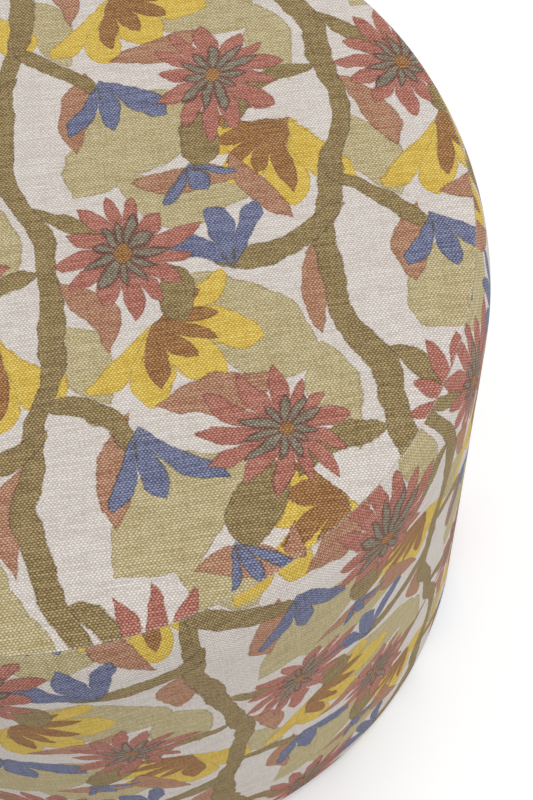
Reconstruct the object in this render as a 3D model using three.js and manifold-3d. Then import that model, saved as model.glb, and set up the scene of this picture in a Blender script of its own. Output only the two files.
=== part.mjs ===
// An upholstered drum tuffet: a timber and plywood drum, padded with foam and wadding,
// under a linen cover sewn from a crowned top panel and a band whose hem is pleated under the foot.
// Millimetres, +Z up, origin on the floor at the middle of the drum.
import * as THREE from "three";
import { mergeVertices } from "three/addons/utils/BufferGeometryUtils.js";
import Module from "manifold-3d";

const wasm = await Module();
wasm.setup();

// Outside form of the cover
const seamHeight = 399;
const seamRadius = 241;
const crownRise = 5;
const edgeRoll = 2.5;
const edgeRollPower = 12;
const shoulderSwell = 13;
const shoulderDrop = 57;
const shoulderFullness = 25.5;
const footFlare = 9;
const footBend = 1.2;

// Cloth
const linenThickness = 1.2;
const seamAllowance = 12;
const hemWidth = 38;
const pleatDepth = 0.8;
const dustClothThickness = 0.6;
const dustClothFold = 12;
const dustClothOverlap = 12;

// Padding
const waddingThickness = 5;
const waddingCapDepth = 66;
const seatFoamThickness = 55;
const sideFoamThickness = 12;

// Timber frame
const seatBoardThickness = 15;
const baseBoardThickness = 18;
const skinThickness = 3;
const skinJointWidth = 2;
const postWidth = 40;
const postDepth = 30;
const postCount = 6;
const tenonWidth = 24;
const tenonDepth = 14;
const tenonLength = 9;
const seatVentRadius = 14;
const seatVentCircle = 110;
const seatVentCount = 6;
const baseVentRadius = 16;
const baseVentCircle = 90;
const baseVentCount = 3;

// Fasteners
const screwLength = 50;
const screwRadius = 2.2;
const screwHeadRadius = 4.4;
const screwHeadDepth = 3.4;
const screwTipLength = 6;
const screwSink = 0.5;
const glideHeight = 4;
const glideRadius = 13;
const glideChamfer = 1.2;
const glideInset = 48;
const glideNailRadius = 1.4;
const glideNailLength = 18;
const glideNailTip = 3;
const glideCount = 6;

// Clearance between neighbouring pieces, overrun of every cut, and how close points are welded
const gap = 0.3;
const cutOverrun = 2;
const weldDistance = 0.001;

// Facets round the drum, round holes and round small turned pieces
const ringFacets = 48;
const holeFacets = 16;
const turnedFacets = 12;

// Where the lines of the cover have their points, as shares of what they follow
const crownShares = [0, 0.3, 0.6, 0.82, 0.94, 0.985, 1];
const allowanceShares = [1];
const shoulderRestShares = [0.33, 0.66, 1];
const footSteps = 3;

// Levels, from the floor up
const dustClothBottom = glideHeight + gap;
const footHeight = dustClothBottom + 2 * dustClothThickness + gap + pleatDepth;
const baseBoardBottom = footHeight + linenThickness + gap;
const baseBoardTop = baseBoardBottom + baseBoardThickness;
const shoulderHeight = seamHeight - shoulderDrop;

// The fullest point of the padded shoulder, and the foot of the flared side
const shoulderRadius = seamRadius + shoulderSwell;
const footRadius = shoulderRadius + footFlare;

// Depths of the layers below the outside of the cover
const waddingTopDepth = linenThickness + gap;
const waddingUnderDepth = waddingTopDepth + waddingThickness;
const foamDepth = waddingUnderDepth + gap;
const skinOuterDepth = foamDepth + sideFoamThickness + gap;
const skinInnerDepth = skinOuterDepth + skinThickness;
const boardDepth = skinInnerDepth + gap;
const lipDepth = 2 * linenThickness;
const flangeTopDepth = lipDepth + gap;
const flangeUnderDepth = flangeTopDepth + linenThickness;
const pressedDepth = flangeUnderDepth + gap;

// The cover rounds the foot over the padding, whose foam has a bend of its own
const footRound = foamDepth + footBend;
const footTop = footHeight + footRound;

const seatBoardTop = seamHeight - foamDepth - seatFoamThickness - gap;
const seatBoardBottom = seatBoardTop - seatBoardThickness;

const linen = new THREE.MeshStandardMaterial({ color: 0xb9ab8c, roughness: 0.95, metalness: 0 });
const wadding = new THREE.MeshStandardMaterial({ color: 0xf2f1ec, roughness: 1, metalness: 0 });
const foam = new THREE.MeshStandardMaterial({ color: 0xe9dfb8, roughness: 0.95, metalness: 0 });
const plywood = new THREE.MeshStandardMaterial({ color: 0xcaa877, roughness: 0.75, metalness: 0 });
const pine = new THREE.MeshStandardMaterial({ color: 0xd9b98a, roughness: 0.7, metalness: 0 });
const hardboard = new THREE.MeshStandardMaterial({ color: 0x7a5a3c, roughness: 0.8, metalness: 0 });
const dustCloth = new THREE.MeshStandardMaterial({ color: 0x1d1d1e, roughness: 1, metalness: 0 });
const steel = new THREE.MeshStandardMaterial({ color: 0xb8b09a, roughness: 0.4, metalness: 1 });
const plastic = new THREE.MeshStandardMaterial({ color: 0x2a2a2b, roughness: 0.5, metalness: 0 });

const point = (radius, height) => new THREE.Vector2(radius, height);

// Height of the top panel at a share of its radius: a broad dome that dips into its seam
function crownHeight(share) {
  return seamHeight + crownRise * (1 - share ** 2) + edgeRoll * (1 - share ** edgeRollPower);
}

// Radius of the straight, slightly flared side at a height
function sideRadius(height) {
  const share = (shoulderHeight - height) / (shoulderHeight - footTop);
  return shoulderRadius + (footRadius - shoulderRadius) * share;
}

const crownLine = crownShares.map((share) => point(share * seamRadius, crownHeight(share)));

// The padded shoulder, leaving the seam on a slope and ending upright at the fullest point
const shoulderCurve = new THREE.QuadraticBezierCurve(
  point(seamRadius, seamHeight),
  point(shoulderRadius, seamHeight - shoulderFullness),
  point(shoulderRadius, shoulderHeight),
);
const allowanceShare = seamAllowance / shoulderCurve.getLength();

function shoulderLine() {
  const covered = allowanceShares.map((share) => shoulderCurve.getPointAt(allowanceShare * share));
  const rest = shoulderRestShares.map((share) =>
    shoulderCurve.getPointAt(allowanceShare + (1 - allowanceShare) * share),
  );
  return covered.concat(rest);
}

function footLine() {
  const steps = Array.from({ length: footSteps + 1 }, (_, step) => (step / footSteps) * (Math.PI / 2));
  return steps.map((turn) =>
    point(
      footRadius - footRound + footRound * Math.cos(turn),
      footTop - footRound * Math.sin(turn),
    ),
  );
}

// The outside of the whole cover as one line, from the middle of the top to the edge of the hem
const capEnd = point(sideRadius(seamHeight - waddingCapDepth), seamHeight - waddingCapDepth);
const hemRadius = footRadius - hemWidth;
const coverLine = [...crownLine, ...shoulderLine(), capEnd, ...footLine(), point(hemRadius, footHeight)];
const seamIndex = crownLine.length - 1;
const allowanceIndex = seamIndex + allowanceShares.length;
const capIndex = allowanceIndex + shoulderRestShares.length + 1;
const footEndIndex = coverLine.length - 2;

// The direction into the drum, square to the stretch between two points of the line
function inward(from, to) {
  return point(to.y - from.y, from.x - to.x).normalize();
}

// The point of the cover line at an index, moved into the drum by a depth
function sunk(index, depth) {
  const here = coverLine[index];
  const before = index > 0 ? inward(coverLine[index - 1], here) : inward(here, coverLine[index + 1]);
  const last = index === coverLine.length - 1;
  const after = last ? before : inward(here, coverLine[index + 1]);
  const middle = before.clone().add(after).normalize();
  const moved = here.clone().addScaledVector(middle, depth / middle.dot(before));
  return index === 0 ? point(0, moved.y) : moved;
}

// A stretch of the cover line moved into the drum by a depth
function sunkLine(first, last, depth) {
  return Array.from({ length: last - first + 1 }, (_, step) => sunk(first + step, depth));
}

// Where a sunk stretch of the band's line, next to the seam, reaches a radius
function besideSeam(radius, depth) {
  const slope = inward(coverLine[seamIndex], coverLine[seamIndex + 1]);
  const start = coverLine[seamIndex].clone().addScaledVector(slope, depth);
  const height = start.y + ((radius - start.x) * slope.x) / -slope.y;
  return point(radius, height);
}

// A solid turned from a profile that starts and ends on the axis, or closes on itself
function turned(profile, facets = ringFacets) {
  return new THREE.LatheGeometry(profile, facets).rotateX(Math.PI / 2);
}

// A ring turned from the outline between an outer and an inner line, both given from the top down
function turnedRing(outer, inner) {
  const outline = [...outer.slice().reverse(), ...inner];
  return turned([...outline, outline[0].clone()]);
}

// A round bar along Z between two levels
function bar(radius, low, high, facets = holeFacets) {
  const geometry = new THREE.CylinderGeometry(radius, radius, high - low, facets);
  return geometry.rotateX(Math.PI / 2).translate(0, 0, (low + high) / 2);
}

// A block centred on the Z axis between two levels
function block(depth, width, low, high) {
  return new THREE.BoxGeometry(depth, width, high - low).translate(0, 0, (low + high) / 2);
}

// A copy of a geometry moved out along X and turned round Z
function around(geometry, radius, turn) {
  return geometry.clone().translate(radius, 0, 0).rotateZ(turn);
}

// A copy of a geometry on the Z axis, each level of it moved out to where the posts stand there
function leaning(geometry) {
  const lean = new THREE.Matrix4().makeShear(0, 0, 0, 0, -postLean, 0);
  const out = seatPostCircle + postLean * seatBoardTop;
  return geometry.clone().applyMatrix4(lean).translate(out, 0, 0);
}

function isWhole(a, b, c) {
  return a !== b && b !== c && c !== a;
}

function toSolid(geometry) {
  const bare = geometry.clone();
  bare.deleteAttribute("normal");
  bare.deleteAttribute("uv");
  const welded = mergeVertices(bare, weldDistance);
  const corners = welded.index.array;
  const triangles = [];
  for (let i = 0; i < corners.length; i += 3) {
    const [a, b, c] = [corners[i], corners[i + 1], corners[i + 2]];
    if (isWhole(a, b, c)) triangles.push(a, b, c);
  }
  const vertProperties = new Float32Array(welded.attributes.position.array);
  const triVerts = new Uint32Array(triangles);
  return new wasm.Manifold(new wasm.Mesh({ numProp: 3, vertProperties, triVerts }));
}

function toGeometry(solid) {
  const mesh = solid.getMesh();
  const geometry = new THREE.BufferGeometry();
  geometry.setAttribute("position", new THREE.BufferAttribute(new Float32Array(mesh.vertProperties), 3));
  geometry.setIndex(Array.from(mesh.triVerts));
  return geometry;
}

// A geometry with other geometries cut out of it
function cut(geometry, tools) {
  const rest = tools.reduce((solid, tool) => solid.subtract(toSolid(tool)), toSolid(geometry));
  return toGeometry(rest);
}

const turnsOf = (count, start = 0) =>
  Array.from({ length: count }, (_, step) => start + (step / count) * 2 * Math.PI);
const postTurns = turnsOf(postCount, Math.PI / postCount);
const glideTurns = turnsOf(glideCount);

// Where a post stands at a height, with its outer corners against the hardboard's flats
function postCircleAt(height) {
  const flat = (sideRadius(height) - boardDepth) * Math.cos(Math.PI / ringFacets);
  return Math.sqrt(flat ** 2 - (postWidth / 2) ** 2) - postDepth / 2;
}

// The posts lean with the flare, so that the hardboard lies on them all the way up
const seatPostCircle = postCircleAt(seatBoardTop);
const basePostCircle = postCircleAt(baseBoardBottom);
const postLean = (basePostCircle - seatPostCircle) / (seatBoardTop - baseBoardBottom);
const seatScrewCircle = seatPostCircle + (postLean * screwLength) / 2;
const baseScrewCircle = basePostCircle - (postLean * screwLength) / 2;
const glideCircle = footRadius - footRound - glideInset - glideRadius;

const tuffet = new THREE.Group();

function place(name, geometry, material, turn = 0) {
  const mesh = new THREE.Mesh(geometry, material);
  mesh.name = name;
  mesh.rotation.z = turn;
  tuffet.add(mesh);
}

// Top panel: crowned linen whose edge turns down at the seam and lies under the band's own allowance
function topCover() {
  const edge = seamRadius - gap / 2;
  const innerEdge = edge - linenThickness;
  const crownUnder = sunkLine(0, seamIndex - 1, linenThickness);
  const underEdge = point(innerEdge, sunk(seamIndex - 1, linenThickness).y);
  const flangeUnder = sunkLine(seamIndex + 1, allowanceIndex, flangeUnderDepth);
  const flangeTop = sunkLine(seamIndex + 1, allowanceIndex, flangeTopDepth).reverse();
  const turnDown = [besideSeam(edge, flangeTopDepth), point(edge, seamHeight)];
  const crownTop = crownLine.slice(0, seamIndex).reverse();
  return turned([
    ...crownUnder,
    underEdge,
    besideSeam(innerEdge, flangeUnderDepth),
    ...flangeUnder,
    ...flangeTop,
    ...turnDown,
    ...crownTop,
  ]);
}

// Lowers every second point of the hem's raw edge, so that the hem lies in flat pleats
function pleat(geometry) {
  const places = geometry.attributes.position;
  const step = (2 * Math.PI) / ringFacets;
  for (let i = 0; i < places.count; i += 1) {
    const radius = Math.hypot(places.getX(i), places.getY(i));
    const column = Math.round(Math.atan2(places.getY(i), places.getX(i)) / step);
    const isEdge = radius < hemRadius + gap && places.getZ(i) < footTop;
    if (isEdge && column % 2 !== 0) places.setZ(i, places.getZ(i) - pleatDepth);
  }
  return geometry;
}

// Band: linen from the seam over the padded shoulder, down the side and pleated under the foot
function sideCover() {
  const start = seamRadius + gap / 2;
  const hemEnd = coverLine.length - 1;
  const outer = [besideSeam(start, 0), ...sunkLine(seamIndex + 1, hemEnd, 0)];
  const lip = [besideSeam(start, lipDepth), ...sunkLine(seamIndex + 1, allowanceIndex, lipDepth)];
  const inner = [...lip, ...sunkLine(allowanceIndex, hemEnd, linenThickness)];
  return pleat(turnedRing(outer, inner));
}

// Wadding over the top: a soft cap that reaches down past the shoulder, pressed in under the seam
function waddingCap() {
  const crown = sunkLine(0, seamIndex - 2, waddingTopDepth);
  const pressed = sunkLine(seamIndex - 1, allowanceIndex, pressedDepth);
  const shoulder = sunkLine(allowanceIndex + 1, capIndex, waddingTopDepth);
  const top = [...crown, ...pressed, ...shoulder].reverse();
  const under = sunkLine(0, capIndex, waddingUnderDepth);
  return turned([...under, ...top]);
}

// Wadding round the side: butts against the cap and tucks in under the side foam
function waddingBand() {
  const start = seamHeight - waddingCapDepth - gap;
  const tuck = footRadius - skinOuterDepth + gap;
  const outer = [
    point(sideRadius(start) - waddingTopDepth, start),
    ...sunkLine(capIndex + 1, footEndIndex, waddingTopDepth),
    point(tuck, footHeight + waddingTopDepth),
  ];
  const inner = [
    point(sideRadius(start) - waddingUnderDepth, start),
    ...sunkLine(capIndex + 1, footEndIndex, waddingUnderDepth),
    point(tuck, footHeight + waddingUnderDepth),
  ];
  return turnedRing(outer, inner);
}

// Seat foam: a thick disc with a domed top and rounded shoulder, lying on the board and the side foam
function seatFoam() {
  const bottom = seatBoardTop + gap;
  const top = sunkLine(0, capIndex - 1, foamDepth).reverse();
  return turned([point(0, bottom), point(sideRadius(bottom) - foamDepth, bottom), ...top]);
}

// Side foam: a sheet glued round the hardboard, level with the seat board and bent at the foot
function sideFoam() {
  const innerDepth = foamDepth + sideFoamThickness;
  const bottom = footHeight + foamDepth;
  const outer = [
    point(sideRadius(seatBoardTop) - foamDepth, seatBoardTop),
    ...sunkLine(capIndex + 1, footEndIndex, foamDepth),
  ];
  const inner = [
    point(sideRadius(seatBoardTop) - innerDepth, seatBoardTop),
    point(sideRadius(bottom) - innerDepth, bottom),
  ];
  return turnedRing(outer, inner);
}

// Hardboard bent round both boards and the posts, with its butt joint on the back post
function sideSkin() {
  const ends = [seatBoardTop, baseBoardBottom];
  const outer = ends.map((height) => point(sideRadius(height) - skinOuterDepth, height));
  const inner = ends.map((height) => point(sideRadius(height) - skinInnerDepth, height));
  const ring = turnedRing(outer, inner);
  const reach = sideRadius(0);
  const slot = block(reach, skinJointWidth, baseBoardBottom - cutOverrun, seatBoardTop + cutOverrun);
  return cut(ring, [around(slot, reach, Math.PI / 2)]);
}

// A round board whose edge follows the flare of the side
function board(low, high) {
  return turned([
    point(0, low),
    point(sideRadius(low) - boardDepth, low),
    point(sideRadius(high) - boardDepth, high),
    point(0, high),
  ]);
}

// The pocket for a post's tenon, between the board's face and just past the tenon's end
function mortise(low, high) {
  return block(tenonDepth + 2 * gap, tenonWidth + 2 * gap, low, high);
}

// The hole for a countersunk screw whose head is sunk in a face; direction is 1 for a head on top
function screwHole(face, direction) {
  const reach = screwLength + screwSink + gap;
  const clear = screwRadius + gap;
  const headClear = screwHeadRadius + gap;
  const floor = face - direction * (screwSink + screwHeadDepth + gap);
  const head = face - direction * screwSink;
  const profile = [
    point(0, face - direction * reach),
    point(clear, face - direction * reach),
    point(clear, floor),
    point(headClear, head),
    point(headClear, face + direction * cutOverrun),
    point(0, face + direction * cutOverrun),
  ];
  return turned(direction > 0 ? profile : profile.reverse(), turnedFacets);
}

// Seat board: vents in a ring round the middle one, mortises below and screw holes above
function seatBoard() {
  const vent = bar(seatVentRadius, seatBoardBottom - cutOverrun, seatBoardTop + cutOverrun);
  const vents = turnsOf(seatVentCount).map((turn) => around(vent, seatVentCircle, turn));
  const pocket = mortise(seatBoardBottom - cutOverrun, seatBoardBottom + tenonLength);
  const pockets = postTurns.map((turn) => leaning(pocket).rotateZ(turn));
  const screws = postTurns.map((turn) => around(screwHole(seatBoardTop, 1), seatScrewCircle, turn));
  return cut(board(seatBoardBottom, seatBoardTop), [vent, ...vents, ...pockets, ...screws]);
}

// Base board: vents, mortises above, screw holes and the glides' nail holes below
function baseBoard() {
  const vent = bar(baseVentRadius, baseBoardBottom - cutOverrun, baseBoardTop + cutOverrun);
  const vents = turnsOf(baseVentCount).map((turn) => around(vent, baseVentCircle, turn));
  const pocket = mortise(baseBoardTop - tenonLength, baseBoardTop + cutOverrun);
  const pockets = postTurns.map((turn) => leaning(pocket).rotateZ(turn));
  const screws = postTurns.map((turn) => around(screwHole(baseBoardBottom, -1), baseScrewCircle, turn));
  const nailEnd = glideHeight + glideNailLength + gap;
  const nail = bar(glideNailRadius + gap, baseBoardBottom - cutOverrun, nailEnd, turnedFacets);
  const nails = glideTurns.map((turn) => around(nail, glideCircle, turn));
  return cut(board(baseBoardBottom, baseBoardTop), [...vents, ...pockets, ...screws, ...nails]);
}

// Post: a leaning pine batten with a stub tenon and a screw's pilot hole at each end
function post() {
  const low = baseBoardTop + gap;
  const high = seatBoardBottom - gap;
  const shaft = block(postDepth, postWidth, low, high);
  const tenons = block(tenonDepth, tenonWidth, low - tenonLength, high + tenonLength);
  const whole = toGeometry(toSolid(leaning(shaft)).add(toSolid(leaning(tenons))));
  const seatHole = around(screwHole(seatBoardTop, 1), seatScrewCircle, 0);
  const baseHole = around(screwHole(baseBoardBottom, -1), baseScrewCircle, 0);
  return cut(whole, [seatHole, baseHole]);
}

// Countersunk wood screw with its head in a face, at a distance from the middle
function screw(face, direction, circle) {
  const head = face - direction * screwSink;
  const tip = head - direction * screwLength;
  const profile = [
    point(0, tip),
    point(screwRadius, tip + direction * screwTipLength),
    point(screwRadius, head - direction * screwHeadDepth),
    point(screwHeadRadius, head),
    point(0, head),
  ];
  const shape = turned(direction > 0 ? profile : profile.reverse(), turnedFacets);
  return shape.translate(circle, 0, 0);
}

// Dust cloth: a thin disc over the hem's raw edge, its own edge folded in and holed for the glides
function dustCover() {
  const radius = hemRadius + dustClothOverlap;
  const foldStart = radius - dustClothFold;
  const top = dustClothBottom + dustClothThickness;
  const foldTop = top + dustClothThickness;
  const panel = turned([
    point(0, dustClothBottom),
    point(radius, dustClothBottom),
    point(radius, foldTop),
    point(foldStart, foldTop),
    point(foldStart, top),
    point(0, top),
  ]);
  const hole = bar(glideNailRadius + gap, 0, baseBoardBottom, turnedFacets);
  return cut(panel, glideTurns.map((turn) => around(hole, glideCircle, turn)));
}

// Glide: a low round plastic foot moulded on the nail that holds it under the base board
function glide() {
  const nailTop = glideHeight + glideNailLength;
  const profile = [
    point(0, 0),
    point(glideRadius - glideChamfer, 0),
    point(glideRadius, glideChamfer),
    point(glideRadius, glideHeight - glideChamfer),
    point(glideRadius - glideChamfer, glideHeight),
    point(glideNailRadius, glideHeight),
    point(glideNailRadius, nailTop - glideNailTip),
    point(0, nailTop),
  ];
  return turned(profile, turnedFacets).translate(glideCircle, 0, 0);
}

place("top_cover", topCover(), linen);
place("side_cover", sideCover(), linen);
place("wadding_cap", waddingCap(), wadding);
place("wadding_band", waddingBand(), wadding);
place("seat_foam", seatFoam(), foam);
place("side_foam", sideFoam(), foam);
place("side_skin", sideSkin(), hardboard);
place("seat_board", seatBoard(), plywood);
place("base_board", baseBoard(), plywood);
place("dust_cover", dustCover(), dustCloth);

postTurns.forEach((turn, index) => {
  place(`post_${index + 1}`, post(), pine, turn);
  place(`seat_screw_${index + 1}`, screw(seatBoardTop, 1, seatScrewCircle), steel, turn);
  place(`base_screw_${index + 1}`, screw(baseBoardBottom, -1, baseScrewCircle), steel, turn);
});

glideTurns.forEach((turn, index) => {
  place(`glide_${index + 1}`, glide(), plastic, turn);
});

export default tuffet;
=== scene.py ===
import math

import bmesh
import bpy
from mathutils import Matrix, Quaternion, Vector, noise


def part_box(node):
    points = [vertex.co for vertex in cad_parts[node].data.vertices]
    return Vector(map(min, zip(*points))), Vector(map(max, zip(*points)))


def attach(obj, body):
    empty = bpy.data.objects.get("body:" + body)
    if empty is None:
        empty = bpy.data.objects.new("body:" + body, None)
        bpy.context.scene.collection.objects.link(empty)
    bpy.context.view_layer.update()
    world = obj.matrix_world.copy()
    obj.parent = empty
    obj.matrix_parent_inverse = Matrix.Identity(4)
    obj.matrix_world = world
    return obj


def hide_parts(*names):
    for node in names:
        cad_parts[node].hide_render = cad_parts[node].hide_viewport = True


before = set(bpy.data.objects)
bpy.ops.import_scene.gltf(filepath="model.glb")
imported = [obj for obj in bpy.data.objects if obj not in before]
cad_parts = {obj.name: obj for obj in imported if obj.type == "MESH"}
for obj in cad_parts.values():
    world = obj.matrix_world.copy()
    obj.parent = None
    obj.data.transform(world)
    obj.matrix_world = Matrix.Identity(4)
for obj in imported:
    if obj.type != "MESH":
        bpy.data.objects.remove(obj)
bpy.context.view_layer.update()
bpy.context.scene.view_settings.view_transform = "Standard"


# Camera: stands over the near rim and looks down on it, at the angle, distance and lens
# of the photograph, found from the drum's outline, its seam and the threads of the cloth.
camera_place = Vector((0.0104, -0.4609, 1.0430))
camera_aim = Vector((0.0911, -0.1421, 0.399))
camera_roll = math.radians(-3.274)
lens_mm = 64.55
sensor_mm = 36

camera_data = bpy.data.cameras.new("camera")
camera_data.lens = lens_mm
camera_data.sensor_width = sensor_mm
camera = bpy.data.objects.new("camera", camera_data)
level_view = (camera_aim - camera_place).to_track_quat("-Z", "Y")
camera.rotation_mode = "QUATERNION"
camera.rotation_quaternion = level_view @ Quaternion((0, 0, 1), camera_roll)
camera.location = camera_place
bpy.context.scene.collection.objects.link(camera)
bpy.context.scene.camera = camera


# Boards: two discs of birch plywood, sawn round with the edge at the flare's slope, bored for air
# and for the screws. Bare sanded faces with a soft grain, and pale and dark plies at the edge.
def srgb(code):
    """A colour written as sRGB hex, turned to linear for the materials."""
    parts = [int(code[i : i + 2], 16) / 255 for i in (0, 2, 4)]
    return (*[p / 12.92 if p < 0.04045 else ((p + 0.055) / 1.055) ** 2.4 for p in parts], 1)


def add(tree, kind, inputs=(), **settings):
    """Adds a node with its settings, and links or sets its inputs in order or by name."""
    made = tree.nodes.new(kind if kind.startswith("Node") else "ShaderNode" + kind)
    for name, value in settings.items():
        setattr(made, name, value)
    for key, value in inputs.items() if isinstance(inputs, dict) else enumerate(inputs):
        if isinstance(value, bpy.types.Node):
            value = value.outputs[0]
        if isinstance(value, bpy.types.NodeSocket):
            tree.links.new(value, made.inputs[key])
        elif value is not None:
            made.inputs[key].default_value = value
    return made


def finish_material(name, roughness, **sockets):
    """A new material and its tree, with a surface shader whose fixed sockets are set."""
    material = bpy.data.materials.new(name)
    material.use_nodes = True
    tree = material.node_tree
    surface = tree.nodes["Principled BSDF"]
    surface.inputs["Roughness"].default_value = roughness
    for key, value in sockets.items():
        surface.inputs[key.replace("_", " ").title()].default_value = value
    return material, tree, surface


def give(node, material):
    """Lays a material on a CAD node that stays in view."""
    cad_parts[node].data.materials.clear()
    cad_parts[node].data.materials.append(material)


def birch_plywood():
    # sanded veneer: closed, dull, with flames of grain some 40 mm long; plies of 1.4 mm at the edge
    grain_length, grain_width = 0.04, 0.0038
    ply = 0.0014
    edge_slope = 0.7
    material, tree, surface = finish_material("birch_plywood", 0.62)
    place = add(tree, "TexCoord").outputs["Object"]
    flames = (1 / grain_length, 1 / grain_width, 1 / grain_length)
    stretched = add(tree, "Mapping", {"Vector": place, "Scale": flames})
    grain = add(tree, "TexNoise", {"Vector": stretched, "Scale": 1.0, "Detail": 5.0, "Distortion": 0.6})
    face = add(tree, "ValToRGB", [grain])
    face.color_ramp.elements[0].color = srgb("B08A5A")
    face.color_ramp.elements[1].color = srgb("DCC49A")
    height = add(tree, "SeparateXYZ", [place]).outputs["Z"]
    layer = add(tree, "Math", [height, ply], operation="PINGPONG")
    edge = add(tree, "MapRange", {"Value": layer, "From Min": ply * 0.43, "From Max": ply * 0.57})
    plies = add(tree, "Mix", {0: edge, 6: srgb("8A6238"), 7: srgb("D2B284")}, data_type="RGBA")
    facing = add(tree, "SeparateXYZ", [add(tree, "NewGeometry").outputs["Normal"]]).outputs["Z"]
    upright = add(tree, "Math", [facing], operation="ABSOLUTE")
    flat = add(tree, "Math", [upright, edge_slope], operation="GREATER_THAN")
    colour = add(tree, "Mix", {0: flat, 6: plies.outputs[2], 7: face}, data_type="RGBA")
    tree.links.new(colour.outputs[2], surface.inputs["Base Color"])
    bump = add(tree, "Bump", {"Height": grain, "Distance": 0.0003, "Strength": 0.5})
    tree.links.new(bump.outputs[0], surface.inputs["Normal"])
    return material


plywood = birch_plywood()
give("seat_board", plywood)
give("base_board", plywood)


# Posts: six battens of pine that lean with the flare, let into both boards by a stub tenon.
# Sawn softwood: straight orange grain lines up the batten, and a dry, fibrous surface.
def sawn_pine():
    # sawn pine: growth lines 3.3 mm apart that run some 110 mm before they fade
    line_length, line_width = 0.11, 0.0033
    material, tree, surface = finish_material("sawn_pine", 0.7)
    place = add(tree, "TexCoord").outputs["Object"]
    lines = (1 / line_width, 1 / line_width, 1 / line_length)
    stretched = add(tree, "Mapping", {"Vector": place, "Scale": lines})
    grain = add(tree, "TexNoise", {"Vector": stretched, "Scale": 1.0, "Detail": 4.0, "Distortion": 0.3})
    ramp = add(tree, "ValToRGB", [grain])
    ramp.color_ramp.elements[0].color = srgb("B98950")
    ramp.color_ramp.elements[0].position = 0.35
    ramp.color_ramp.elements[1].color = srgb("E3C692")
    ramp.color_ramp.elements[1].position = 0.6
    tree.links.new(ramp.outputs[0], surface.inputs["Base Color"])
    bump = add(tree, "Bump", {"Height": grain, "Distance": 0.0004, "Strength": 0.6})
    tree.links.new(bump.outputs[0], surface.inputs["Normal"])
    return material


post_numbers = range(1, 7)
pine = sawn_pine()
for index in post_numbers:
    give(f"post_{index}", pine)


# Screws: countersunk steel wood screws, six down through the seat board and six up through
# the base board. Zinc plated and passivated, so a bright metal with a faint yellow bloom.
def plated_steel():
    # zinc plate: a bright metal whose faint yellow film lies in blooms about 1.1 mm across
    bloom_width = 0.0011
    material, tree, surface = finish_material("zinc_plated_steel", 0.35, metallic=1.0)
    place = add(tree, "TexCoord").outputs["Object"]
    bloom = add(tree, "TexNoise", {"Vector": place, "Scale": 1 / bloom_width, "Detail": 2.0})
    colour = add(tree, "Mix", {0: bloom, 6: srgb("C9C4B4"), 7: srgb("D8C58A")}, data_type="RGBA")
    tree.links.new(colour.outputs[2], surface.inputs["Base Color"])
    rough = add(tree, "MapRange", {"Value": bloom, "To Min": 0.25, "To Max": 0.45})
    tree.links.new(rough.outputs[0], surface.inputs["Roughness"])
    return material


zinc = plated_steel()
for index in post_numbers:
    give(f"seat_screw_{index}", zinc)
    give(f"base_screw_{index}", zinc)


# Skin: one sheet of 3 mm hardboard, bent round both boards and the posts and butted at the back.
# Pressed fibre: a smooth dark brown face flecked with paler fibres.
def pressed_hardboard():
    # pressed wood fibre: smooth, dark, flecked with paler fibres about 1.4 mm long
    fibre_length = 0.0014
    material, tree, surface = finish_material("pressed_hardboard", 0.55)
    place = add(tree, "TexCoord").outputs["Object"]
    fibres = add(tree, "TexNoise", {"Vector": place, "Scale": 1 / fibre_length, "Detail": 3.0})
    ramp = add(tree, "ValToRGB", [fibres])
    ramp.color_ramp.elements[0].color = srgb("5A3D26")
    ramp.color_ramp.elements[0].position = 0.4
    ramp.color_ramp.elements[1].color = srgb("8E6A47")
    ramp.color_ramp.elements[1].position = 0.72
    tree.links.new(ramp.outputs[0], surface.inputs["Base Color"])
    return material


give("side_skin", pressed_hardboard())


# Side foam: a 12 mm sheet of polyurethane foam glued round the hardboard and bent in at the foot.
# Everything soft follows the outside of the cover at a depth of its own, which is set here.
crown_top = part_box("top_cover")[1].z
foot_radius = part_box("side_cover")[1].x
crown_rise = 0.005
edge_roll = 0.0025
edge_roll_power = 12
seam_height = crown_top - crown_rise - edge_roll
foot_flare = 0.009
shoulder_radius = foot_radius - foot_flare
shoulder_swell = 0.013
seam_radius = shoulder_radius - shoulder_swell
shoulder_drop = 0.057
shoulder_height = seam_height - shoulder_drop
shoulder_fullness = 0.0255
pleat_depth = 0.0008
hem_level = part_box("side_cover")[0].z + pleat_depth
foot_round = 0.008
foot_top = hem_level + foot_round
hem_width = 0.038
hem_radius = foot_radius - hem_width
foam_depth = 0.0069
side_foam_thickness = 0.0118
side_foam_reach = 0.024
seat_board_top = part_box("seat_board")[1].z

# how finely each stretch of the outline is cut, and how many steps go round the drum
crown_steps = 36
shoulder_steps = 30
shoulder_crowding = 1.5
side_steps = 30
foot_steps = 12
hem_steps = 10
padding_steps = 192
weld_distance = 1e-6


def steps(count, first=0.0, last=1.0):
    """Evenly spaced numbers from first to last, both among them."""
    return [first + (last - first) * i / count for i in range(count + 1)]


def side_radius(height):
    """Radius of the straight, slightly flared side at a height."""
    share = (shoulder_height - height) / (shoulder_height - foot_top)
    return shoulder_radius + (foot_radius - shoulder_radius) * share


def crown_height(share):
    """Height of the top panel at a share of its radius: a broad dome that dips into its seam."""
    return seam_height + crown_rise * (1 - share**2) + edge_roll * (1 - share**edge_roll_power)


def shoulder_point(share):
    """The padded shoulder, a curve that leaves the seam on a slope and ends upright."""
    start = Vector((seam_radius, seam_height))
    bend = Vector((shoulder_radius, seam_height - shoulder_fullness))
    end = Vector((shoulder_radius, shoulder_height))
    return start * (1 - share) ** 2 + bend * 2 * share * (1 - share) + end * share**2


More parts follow.
